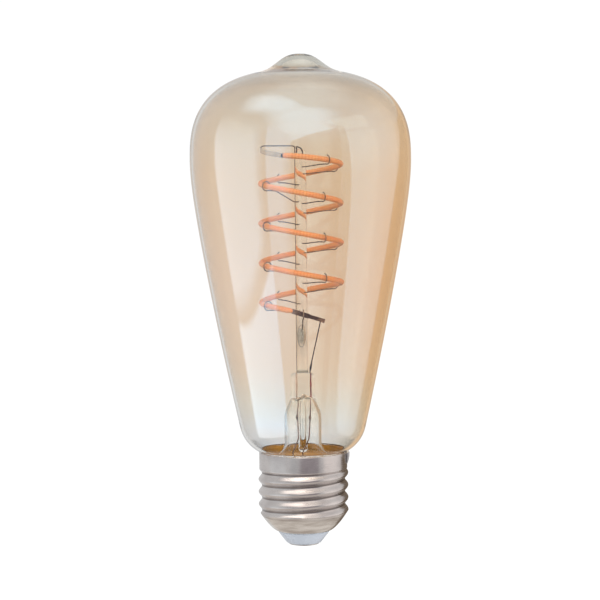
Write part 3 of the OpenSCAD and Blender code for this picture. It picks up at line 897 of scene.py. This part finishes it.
def add_bubble(mesh):
    """The long bubble that was trapped in the column, as a hollow with its faces inwards."""
    bubble = bmesh.new()
    bubble.from_mesh(mesh)
    made = bmesh.ops.create_uvsphere(bubble, u_segments=24, v_segments=16, radius=1)
    stretch = Matrix.Diagonal((BUBBLE_R, BUBBLE_R, BUBBLE_HALF, 1))
    shift = Matrix.Translation((BUBBLE_X, 0, BUBBLE_Z))
    bmesh.ops.transform(bubble, matrix=Matrix.Scale(MM, 4) @ shift @ stretch, verts=made["verts"])
    hollow = {face for vertex in made["verts"] for face in vertex.link_faces}
    bmesh.ops.reverse_faces(bubble, faces=list(hollow))
    for face in hollow:
        face.smooth = True
    bubble.to_mesh(mesh)
    bubble.free()


def make_column():
    """The column, a little swollen at its foot, with its bubble."""
    outline = [(0, PRESS_TOP), (1.5, PRESS_TOP), (1.72, PRESS_TOP + 0.1), (1.76, PRESS_TOP + 0.35)]
    outline += [(1.68, PRESS_TOP + 0.7), (1.62, PRESS_TOP + 1.1), (COLUMN_R, PRESS_TOP + 1.7)]
    outline += [(COLUMN_R, z) for z in steps(PRESS_TOP + 4, COLUMN_TOP - 2, 12)]
    outline += [(COLUMN_R * cosd(a), COLUMN_TOP - 1 + sind(a)) for a in steps(0, 90, 8)]
    column = lathe("column_glass", outline, GLASS_CLEAR, ["glass_column"], 40, 60)
    add_bubble(column.data)
    low, high = BUBBLE_Z - BUBBLE_HALF, BUBBLE_Z + BUBBLE_HALF
    # Painted shade at the column's foot, in a band round the bubble and on a ring at the bubble's edge
    shade(column, lambda p: p.z < PRESS_TOP + 0.5, FOOT_SHADE)
    shade(column, lambda p: low - 0.8 < p.z < high + 1.7 and math.hypot(p.x, p.y) > 1.2, WALL_SHADE)
    shade(column, lambda p: low < p.z < high and 0.7 < math.hypot(p.x - BUBBLE_X, p.y) < 1, BUBBLE_SHADE)


# ---- Filament and its wires ----


def make_filament(sides=16):
    """The cord, rounded at its ends, and the flat terminals that hold it."""
    path = coil_path(JACKET_A0, JACKET_A1, 4)

    def size(share):
        ring = round(min(share, 1 - share) * (len(path) - 1))
        return JACKET_R * (CORD_ENDS[ring] if ring < len(CORD_ENDS) else 1)

    jacket = tube("filament_cord", path, size, PHOSPHOR, ["filament_jacket"], sides)
    store_length(jacket, path, sides)
    band = coil_path(TOP_TERMINAL_A, JACKET_A0 + 1, 3)
    ribbon("upper_terminal", band, BAND_W, PALE_STRIP, ["filament_top_terminal"])
    bottom = ["filament_bottom_terminal"]
    lower = coil_path(JACKET_A1 - 1, BAND_A, 3)
    ribbon("lower_terminal_band", lower, BAND_W, DARK_STRIP, bottom)
    strip = coil_path(BAND_A - 0.5, STRIP_A, 3)
    ribbon("lower_terminal_strip", strip, TERMINAL_W, DARK_STRIP, bottom)


def hook_angle(k):
    if k == HOOK_COUNT - 1:
        return LAST_HOOK
    return HOOK_A0 + HOOK_STEP * k + (HOOK_SHIFT if k == 0 else 0)


def hook_root_z(k):
    drop = HOOK_REACH + HOOK_DIP
    if k == HOOK_COUNT - 1:
        drop = LAST_DROP
    if k == LOW_HOOK:
        drop = LOW_DROP
    return coil_height(hook_angle(k)) - drop


def hook_path(k):
    """Out from the column, under the cord and up past it in a loop, closed on every fourth hook."""
    a = hook_angle(k)
    centre = coil_height(a)
    reach = HOOK_REACH + SUPPORT_R
    loop_end = CLOSED_LOOP if k % 4 == 3 else OPEN_LOOP
    root_z = hook_root_z(k)
    straight = [around(a, COLUMN_R - ROOT_DEPTH, root_z), around(a, COLUMN_R + 0.6, root_z)]
    straight.append(around(a, COIL_R - LOOP_LEAD, centre - reach))
    turn = steps(LOOP_START, loop_end, 18)
    loop = [around(a, COIL_R + reach * sind(t), centre - reach * cosd(t)) for t in turn]
    return bent([*straight, loop[0]], 0.5)[:-1] + loop


def make_supports():
    for k in range(HOOK_COUNT):
        name = f"support_wire_{k + 1:02d}"
        tube(f"hook_{k + 1:02d}", hook_path(k), SUPPORT_R, SUPPORT_WIRE, [name], 8)


def make_top_hook():
    """The curved wire from the column's top that holds the first turn."""
    z = COLUMN_TOP
    front = coil_height(3) + JACKET_R
    points = vectors([
        (-0.9, -0.2, z - 1.2), (-1, -0.3, z - 0.2), (-1.2, -0.8, z + 0.5), (-1.1, -2.5, z + 0.7),
        (-0.3, -6, z + 0.4), (0.3, -9, z - 0.1), (0.6, -11.2, front + 0.5), (0.6, -COIL_R, front),
    ])
    tube("top_wire", bent(points, 2), TOP_WIRE_R, HOOK_WIRE, ["top_hook"])


def make_long_lead():
    """Up beside the column, then across to the upper terminal."""
    a = TOP_TERMINAL_A + 4
    end = around(a, COIL_R, coil_height(a) + BAND_W / 2)
    top = COLUMN_TOP + LEAD_RISE
    x, y = LEFT_LEAD
    points = vectors([
        (x, y, PRESS_TOP), (x, y, top - 0.6), (x - 0.2, y, top - 0.15), (x - 0.7, y - 0.2, top),
        (end.x + 0.9, end.y + 0.3, top), (end.x + 0.3, end.y + 0.1, top - 0.15),
        (end.x, end.y, top - 0.5), end,
    ])
    tube("long_lead_wire", bent(points, 0.5), LEAD_R, LEAD_WIRE, ["long_lead"])


def swelling(path, plain, swollen, z, width):
    """A wire's radius by the share along its path, with a knot or weld at height z."""

    def size(share):
        away = (path[round(share * (len(path) - 1))].z - z) / width
        return plain + (swollen - plain) * math.exp(-(away**4))

    return size


def make_short_lead():
    """From the press up to the lower terminal, with a weld above the seal."""
    z = coil_height(STRIP_A - 7) - TERMINAL_W / 2
    start = around(STRIP_A - 7, COIL_R, z)
    x, y = RIGHT_LEAD
    points = vectors([
        (x, y, PRESS_TOP), (x + 0.1, -0.1, PRESS_TOP + 0.9), (x + 0.35, -0.6, PRESS_TOP + 2.2),
        (x + 0.5, -1.2, PRESS_TOP + 3.2), (start.x - 0.1, start.y + 0.3, z - 0.6), start,
    ])
    path = bent(points)
    size = swelling(path, LEAD_R, WELD_R, WELD_Z, WELD_W)
    tube("short_lead_wire", path, size, HOOK_WIRE, ["short_lead"])


def make_seals():
    """The two wires sealed in the press, each with a knot above its middle."""
    for side, (x, y) in (("left", LEFT_LEAD), ("right", RIGHT_LEAD)):
        path = vectors([(x, y, z) for z in steps(SEAL_FOOT, PRESS_TOP, 12)])

        def size(share):
            knot = math.exp(-(((share - SEAL_KNOT) / SEAL_KNOT_W) ** 2))
            return SEAL_R * (SEAL_THIN + (1 - SEAL_THIN) * knot)

        tube(f"seal_{side}", path, size, DUMET[side], [f"dumet_{side}"])


def make_outer_lead(side, lead, foot):
    """From a seal down through the flare, in front of the exhaust tube, to the board."""
    x, y = lead
    first, second, third, last = KNOT_BENDS
    points = vectors([
        (x, y, SEAL_FOOT), (x, y, first), (x - 0.1, y, second), (x - 0.1, y, third),
        (x * 0.95, y, last), (x * 0.8, -1.2, 31),
        (foot[0], -LEAD_CLEAR, EXHAUST_FOOT + 0.5), foot,
    ])
    path = bent(points)
    size = swelling(path, OUTER_LEAD_R, OUTER_KNOT_R, OUTER_KNOT_Z, OUTER_KNOT_W)
    tube(f"outer_wire_{side}", path, size, COPPER, [f"outer_lead_{side}"])


# ---- Cap ----


def make_shell(sides=180):
    """The screw shell, a thin wall that follows the thread inside as well as outside."""
    heights = steps(SKIRT_Z, THREAD_TOP, 68) + steps(THREAD_TOP + 0.15, COLLAR_FOOT, 6)
    heights += [COLLAR_FOOT + 0.3, 24, 25.5, RIM_Z - 0.5, RIM_Z - 0.15]
    skin = [(z, 0.0) for z in heights] + [(RIM_Z, 0.08), (RIM_Z, SHEET_T - 0.05)]
    skin += [(z, SHEET_T) for z in heights[::-1]]
    points = []
    for z, depth in skin:
        for k in range(sides):
            a = 360 * k / sides
            r = shell_r(z, a) - depth
            points.append((r * cosd(a), r * sind(a), z))
    faces = ring_faces(len(skin), sides, closed=True)
    mesh = mesh_from("cap_shell", points, faces)
    finish_piece("cap_shell", mesh, CAP_METAL, ["screw_shell"], 50)


def make_cement():
    """The cement squeezed up between the neck and the collar, with its uneven upper edge."""
    outer = COLLAR_R - SHEET_T - FIT
    root = CREST_R - THREAD_DEPTH - SHEET_T - 0.05
    inner = NECK_R + FIT
    outline = [
        (CEMENT_BORE, NECK_END - 2), (root, NECK_END - 2), (root, COLLAR_FOOT - 0.3),
        (outer, COLLAR_FOOT + 0.2), (outer, CEMENT_TOP - 0.1), (outer - 0.1, CEMENT_TOP),
        (inner, CEMENT_TOP), (inner, NECK_END - FIT), (CEMENT_BORE, NECK_END - FIT),
    ]
    ring = lathe("cement_ring", outline, GLOWING_CEMENT, ["basing_cement"])
    for vertex in ring.data.vertices:
        if vertex.co.z > (CEMENT_TOP - 0.3) * MM:
            a = math.atan2(vertex.co.y, vertex.co.x)
            lift = sum(h * math.sin(count * a + phase) for h, count, phase in CEMENT_WAVES)
            vertex.co.z += lift * MM


def make_insulator():
    """The pale ring between the contact and the skirt, hollow above."""
    outline = [
        (1, CONTACT_T), (CONTACT_R + 0.3, CONTACT_T), (CONTACT_R + 0.62, CONTACT_T + 0.08),
        (CONTACT_R + 0.85, CONTACT_T + 0.3), (SKIRT_R - SHEET_T - 0.15, SKIRT_Z - 0.5),
        (SKIRT_R - SHEET_T, SKIRT_Z - 0.2), (SKIRT_R - SHEET_T, INSULATOR_TOP),
        (3, INSULATOR_TOP), (2.2, INSULATOR_TOP - 1.6), (1, INSULATOR_TOP - 1.6),
    ]
    lathe("cap_insulator_body", outline, INSULATOR, ["cap_insulator"])


def make_contact():
    """The contact disc, with a pressed ring in its face and a socket for the wire above."""
    outline = [
        (0, 0), (CONTACT_R - 1.2, 0), (CONTACT_R - 1.0, 0.05), (CONTACT_R - 0.8, 0),
        (CONTACT_R - 0.12, 0), (CONTACT_R, 0.1), (CONTACT_R, CONTACT_T - 0.08),
        (CONTACT_R - 0.08, CONTACT_T), (1, CONTACT_T),
        (1, INSULATOR_TOP - 0.6), (0.55, INSULATOR_TOP - 0.6), (0.55, 1.2), (0, 1.2),
    ]
    lathe("contact_disc", outline, CONTACT, ["centre_contact"], 72, 30)


def make_side_solder():
    """The drop of solder that hangs down the collar from its rim."""
    turn = Matrix.Rotation(math.radians(SIDE_A), 3, "Z")
    middle = [turn @ Vector((COLLAR_R + min(r, SOLDER_OUT), 0, RIM_Z + z)) for z, r in SOLDER_DROP]
    path = bent(middle, 0.3, 3)
    sizes = bent([Vector((r, 0, z)) for z, r in SOLDER_DROP], 0.3, 3)

    def size(share):
        return sizes[round(share * (len(sizes) - 1))].x

    tube("solder_drop", path, size, SOLDER, ["side_solder"], 16)


# ---- Pieces kept from the CAD, with better surfaces ----

CAD_PAINT = {
    "filament_strip": CHIP_STRIP,
    "centre_wire": COPPER,
    "side_lead": LEAD_WIRE,
    "insulating_sleeve": SLEEVE,
    "driver_board": BOARD,
    "bridge_rectifier": CHIP_BLACK,
    "driver_chip": CHIP_BLACK,
    "fusible_resistor": RESISTOR,
    "bulk_capacitor": CAPACITOR,
    "inductor": FERRITE,
    "ceramic_capacitors": CERAMIC,
    "wireless_module": RADIO_BOARD,
    "module_shield": SHIELD,
    "module_pins": PIN_METAL,
}
BEVELS = {
    "driver_board": 0.1,
    "bridge_rectifier": 0.25,
    "driver_chip": 0.2,
    "fusible_resistor": 0.35,
    "bulk_capacitor": 0.3,
    "inductor": 0.15,
    "wireless_module": 0.08,
    "module_shield": 0.2,
}


def paint_cad():
    """Gives the CAD pieces that stay in view their materials and rounded edges."""
    for name, material in CAD_PAINT.items():
        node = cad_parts[name]
        node.data.materials.clear()
        node.data.materials.append(material)
        if name in BEVELS:
            bevel = node.modifiers.new("rounded_edges", "BEVEL")
            bevel.width = BEVELS[name] * MM
            bevel.segments = 3
            bevel.limit_method = "ANGLE"


# ---- Studio ----

# In metres and degrees, apart from the lens and its sensor in millimetres
FLOOR_Z = -0.35
FLOOR_HALF = 60
CAMERA_Y = -0.528
CAMERA_Z = 0.1046
CAMERA_X = -0.0005
PITCH = 3.6
LEAN = 0.55
LENS = 109.2
SENSOR = 36
CLIP_START = 0.01
STUDIO_Z = 0.08
WORLD_LEVEL = 1.03
DIFFUSE_LEVEL = 1.5
GLASS_LEVEL = 0.72
METAL_LEVEL = 0.68
LAMP_POWER = 7
LAMP_SIZE = 0.6
LAMP_REACH = 0.9
CARD_REACH = 0.9
BOUNCES = 32
COOL = (0.95, 0.98, 1.0)
PALE = (1.0, 0.93, 0.87)
SOFT = (1.0, 0.95, 0.92)
DEEP = (1.0, 0.78, 0.58)
THIN_FADES = (0.06, 0.06, 0.06, 0.06)
SOFT_FADES = (0.4, 0.4, 0.4, 0.4)
MAUVE = (1.0, 0.92, 0.97)


def make_camera():
    data = bpy.data.cameras.new("camera")
    data.lens = LENS
    data.sensor_width = SENSOR
    data.clip_start = CLIP_START
    camera = bpy.data.objects.new("camera", data)
    bpy.context.collection.objects.link(camera)
    tilt = Matrix.Rotation(math.radians(90 - PITCH), 4, "X")
    roll = Matrix.Rotation(math.radians(-LEAN), 4, "Z")
    camera.matrix_world = Matrix.Translation((CAMERA_X, CAMERA_Y, CAMERA_Z)) @ tilt @ roll
    bpy.context.scene.camera = camera


def make_world():
    """White all round. Mirrors see it dimmer, so that the cards draw their shapes."""
    world = bpy.data.worlds.new("studio")
    world.use_nodes = True
    nodes = Nodes(world.node_tree)
    mirrored = nodes.path_value("Is Singular Ray", METAL_LEVEL, GLASS_LEVEL)
    seen = nodes.path_value("Glossy Depth", WORLD_LEVEL, mirrored)
    background = world.node_tree.nodes["Background"]
    nodes.feed(background, "Color", (1, 1, 1, 1))
    nodes.feed(background, "Strength", nodes.path_value("Diffuse Depth", seen, DIFFUSE_LEVEL))
    bpy.context.scene.world = world


def sheet(name, corners):
    """A flat face between four corners, in metres."""
    mesh = bpy.data.meshes.new(name)
    mesh.from_pydata(corners, [], [(0, 1, 2, 3)])
    made = bpy.data.objects.new(name, mesh)
    bpy.context.collection.objects.link(made)
    return made


def make_floor():
    """A wide floor that mirrors don't see."""
    half, z = FLOOR_HALF, FLOOR_Z
    floor = sheet("floor", [(-half, -half, z), (half, -half, z), (half, half, z), (-half, half, z)])
    paint = Paint("floor")
    noise = paint.noise(3)
    greys = [(NOISE_LOW, (0.68, 0.68, 0.68)), (NOISE_HIGH, (0.7, 0.7, 0.7))]
    shade = paint.ramp(noise, greys)
    body = paint.node("BsdfPrincipled", Base_Color=shade, Roughness=0.8, Specular_IOR_Level=0.0)
    floor.data.materials.append(paint.surface(body))
    floor.visible_glossy = False
    floor.visible_transmission = False


def soft_card(name, colour, in_glass, in_metal, fades):
    """A lamp cloth or dark card that only mirrors see, fading out at its left, right, foot and top."""
    paint = Paint(name)
    place = paint.node("SeparateXYZ", Vector=paint.node("TexCoord").outputs["Generated"])
    shown = paint.node("LightPath").outputs["Glossy Depth"]
    left, right, foot, top = fades
    for axis, start, end in (("X", 0, left), ("X", 1, 1 - right), ("Z", 0, foot), ("Z", 1, 1 - top)):
        edge = paint.remap(place.outputs[axis], start, end, shape="SMOOTHSTEP")
        shown = paint.compute("MULTIPLY", shown, edge, clamp=True)
    level = paint.path_value("Is Singular Ray", in_metal, in_glass)
    glow = paint.node("Emission", Color=(*colour, 1), Strength=level)
    return paint.surface(paint.mix_shaders(shown, paint.node("BsdfTransparent"), glow))


def card(name, turn, lift, half_turn, half_lift, levels, colour, fades=THIN_FADES, distance=CARD_REACH):
    """A card round the bulb: turn degrees from the front towards +X, lift above level.

    It spans half_turn and half_lift degrees each side of its middle. The levels are how bright
    it looks mirrored in the glass and in the metal. The fades are the shares of its width or
    height over which it fades in from its left, right, foot and top.
    """
    w = distance * math.tan(math.radians(half_turn))
    h = distance * math.tan(math.radians(half_lift))
    cloth = sheet(name, [(-w, 0, -h), (w, 0, -h), (w, 0, h), (-w, 0, h)])
    out = around(turn, distance * cosd(lift), distance * sind(lift))
    middle = Vector((0, 0, STUDIO_Z))
    face = Matrix.Rotation(math.radians(turn), 4, "Z") @ Matrix.Rotation(math.radians(-lift), 4, "X")
    cloth.matrix_world = Matrix.Translation(middle + out) @ face
    cloth.data.materials.append(soft_card(name, colour, *levels, fades))
    cloth.visible_camera = False
    cloth.visible_diffuse = False
    cloth.visible_shadow = False


def lamp(name, turn, lift):
    """Light for the matt pieces inside. It has no mirror image: the cards stand in for that."""
    data = bpy.data.lights.new(name, "AREA")
    data.size = LAMP_SIZE
    data.energy = LAMP_POWER
    made = bpy.data.objects.new(name, data)
    bpy.context.collection.objects.link(made)
    middle = Vector((0, 0, STUDIO_Z))
    made.location = middle + around(turn, LAMP_REACH * cosd(lift), LAMP_REACH * sind(lift))
    made.rotation_euler = (made.location - middle).to_track_quat("Z", "Y").to_euler()
    made.visible_camera = False
    made.visible_glossy = False
    made.visible_transmission = False


def make_studio():
    make_camera()
    make_world()
    make_floor()
    card("left_cloth", -67, 10, 33, 32, (3, 0.75), COOL, (0.06, 0.3, 0.06, 0.7))
    card("strip_cloth", -22, 0, 15, 34, (2.8, 0.6), COOL, (0.1, 0.5, 0.4, 0.2))
    card("low_left_cloth", -64, -33, 30, 11, (3.8, 1), COOL, distance=0.45)
    card("right_cloth", 96, 15, 45, 50, (2.5, 1.05), SOFT, (0.01, 0.7, 0.06, 0.6))
    card("far_right_card", 146, -14, 30, 34, (0.75, 0.2), DEEP)
    card("top_cloth", -44, 62, 34, 22, (4.6, 2.2), PALE, SOFT_FADES)
    card("middle_cloth", 4, 36, 42, 38, (4.6, 1.3), PALE, SOFT_FADES)
    card("over_cloth", 40, 80, 40, 40, (2, 1), PALE, SOFT_FADES)
    card("front_card", 16, 2, 27, 42, (0.35, 0.38), MAUVE, (0.06, 0.06, 0.06, 0.5))
    card("under_card", 0, -90, 50, 50, (0.15, 0.68), PALE, distance=0.35)
    lamp("left_lamp", -50, 30)
    lamp("right_lamp", 50, 20)
    scene = bpy.context.scene
    scene.view_settings.view_transform = "Standard"
    scene.cycles.max_bounces = BOUNCES
    scene.cycles.glossy_bounces = BOUNCES
    scene.cycles.transmission_bounces = BOUNCES
    scene.cycles.transparent_max_bounces = BOUNCES


def build():
    make_studio()
    make_envelope()
    make_stem()
    make_exhaust_tube()
    make_column()
    make_filament()
    make_supports()
    make_top_hook()
    make_long_lead()
    make_short_lead()
    make_seals()
    make_outer_lead("left", LEFT_LEAD, (-3, -0.3, BOARD_TOP))
    make_outer_lead("right", RIGHT_LEAD, (-0.1, -0.3, BOARD_TOP))
    make_shell()
    make_cement()
    make_insulator()
    make_contact()
    make_side_solder()
    paint_cad()


build()
bpy.context.view_layer.update()
